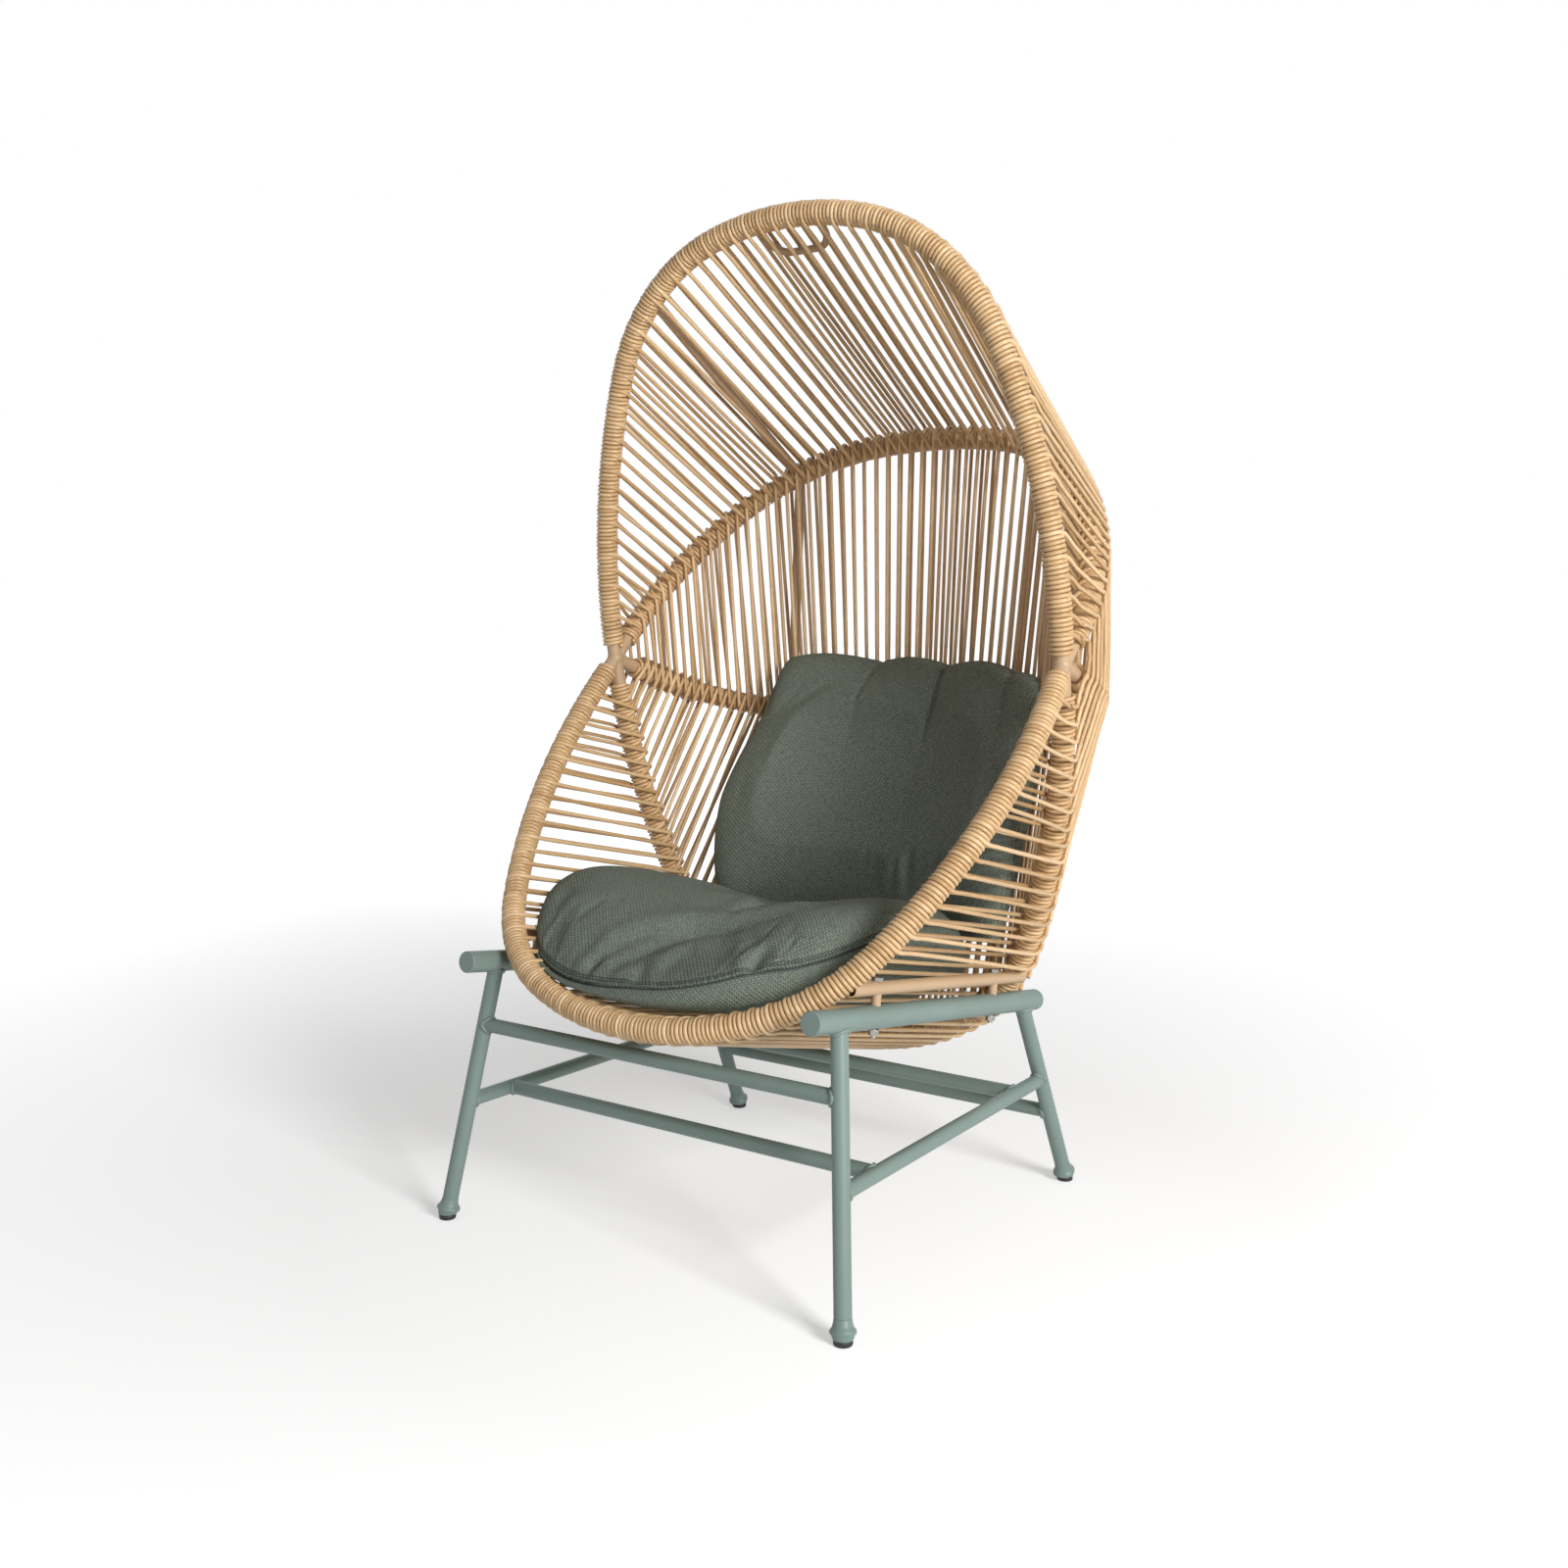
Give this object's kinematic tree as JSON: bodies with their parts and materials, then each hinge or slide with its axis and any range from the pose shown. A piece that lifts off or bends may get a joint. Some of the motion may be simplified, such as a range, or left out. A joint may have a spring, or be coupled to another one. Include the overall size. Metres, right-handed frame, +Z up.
{
  "type": "egg chair",
  "caption": "Free-standing egg chair: a hooded shell of cord-wound tube hoops strung with cord, bolted on a four-legged tube base, with a loose seat cushion and a loose back cushion.",
  "frame": {"origin": "on the floor, under the middle of the chair's bounding box", "axes": "+Z up, -Y is the open front, +X is the right side seen from the front"},
  "size_m": [0.9503, 0.9206, 1.6043],
  "materials": {
    "shell_paint": "satin taupe powder coat on aluminium tube",
    "cord": "smooth round resin cord, honey tan",
    "cushion_fabric": "grey-green plain weave outdoor cloth",
    "base_paint": "matte sage green powder coat on steel tube",
    "glide_plastic": "black moulded plastic",
    "hardware": "bright zinc-plated steel"
  },
  "bodies": {
    "chair": {"hub_left": "shell_paint", "hub_right": "shell_paint", "front_arch_tube": "shell_paint", "upper_back_tube": "shell_paint", "lower_back_tube": "shell_paint", "seat_hoop_tube": "shell_paint", "front_rim_tube": "shell_paint", "front_arch_winding": "cord", "upper_back_winding": "cord", "lower_back_winding": "cord", "seat_hoop_winding": "cord", "front_rim_winding": "cord", "canopy_strings_left": "cord", "canopy_strings_middle": "cord", "canopy_strings_right": "cord", "back_strings_left": "cord", "back_strings_middle": "cord", "back_strings_right": "cord", "lumbar_strings_left": "cord", "lumbar_strings_middle": "cord", "lumbar_strings_right": "cord", "seat_strings_left": "cord", "seat_strings_middle": "cord", "seat_strings_right": "cord", "canopy_rib_left": "shell_paint", "canopy_rib_right": "shell_paint", "back_rib_left": "shell_paint", "back_rib_right": "shell_paint", "lumbar_rib_left": "shell_paint", "lumbar_rib_right": "shell_paint", "seat_rail_left": "shell_paint", "seat_rail_right": "shell_paint", "hanging_bracket": "shell_paint", "side_rail_left": "base_paint", "side_rail_right": "base_paint", "rail_end_caps": "base_paint", "front_leg_left": "base_paint", "front_leg_right": "base_paint", "rear_leg_left": "base_paint", "rear_leg_right": "base_paint", "side_stretcher_left": "base_paint", "side_stretcher_right": "base_paint", "front_upper_crossbar": "base_paint", "front_lower_crossbar": "base_paint", "rear_upper_crossbar": "base_paint", "rear_lower_crossbar": "base_paint", "foot_collars": "base_paint", "foot_glides": "glide_plastic", "mounting_spacers": "shell_paint", "mounting_bolts": "hardware", "mounting_nuts": "hardware", "mounting_washers": "hardware"},
    "seat_cushion": {"seat_cushion": "cushion_fabric"},
    "back_cushion": {"back_cushion": "cushion_fabric"}
  },
  "joints": [
    {"name": "seat_cushion_slide", "type": "slide", "parent": "chair", "child": "seat_cushion", "axis": [0, -0.9751, 0.2215], "range_m": [0, 0.12]},
    {"name": "back_cushion_slide", "type": "slide", "parent": "chair", "child": "back_cushion", "axis": [0, -0.6, 0.8], "range_m": [0, 0.12]}
  ]
}
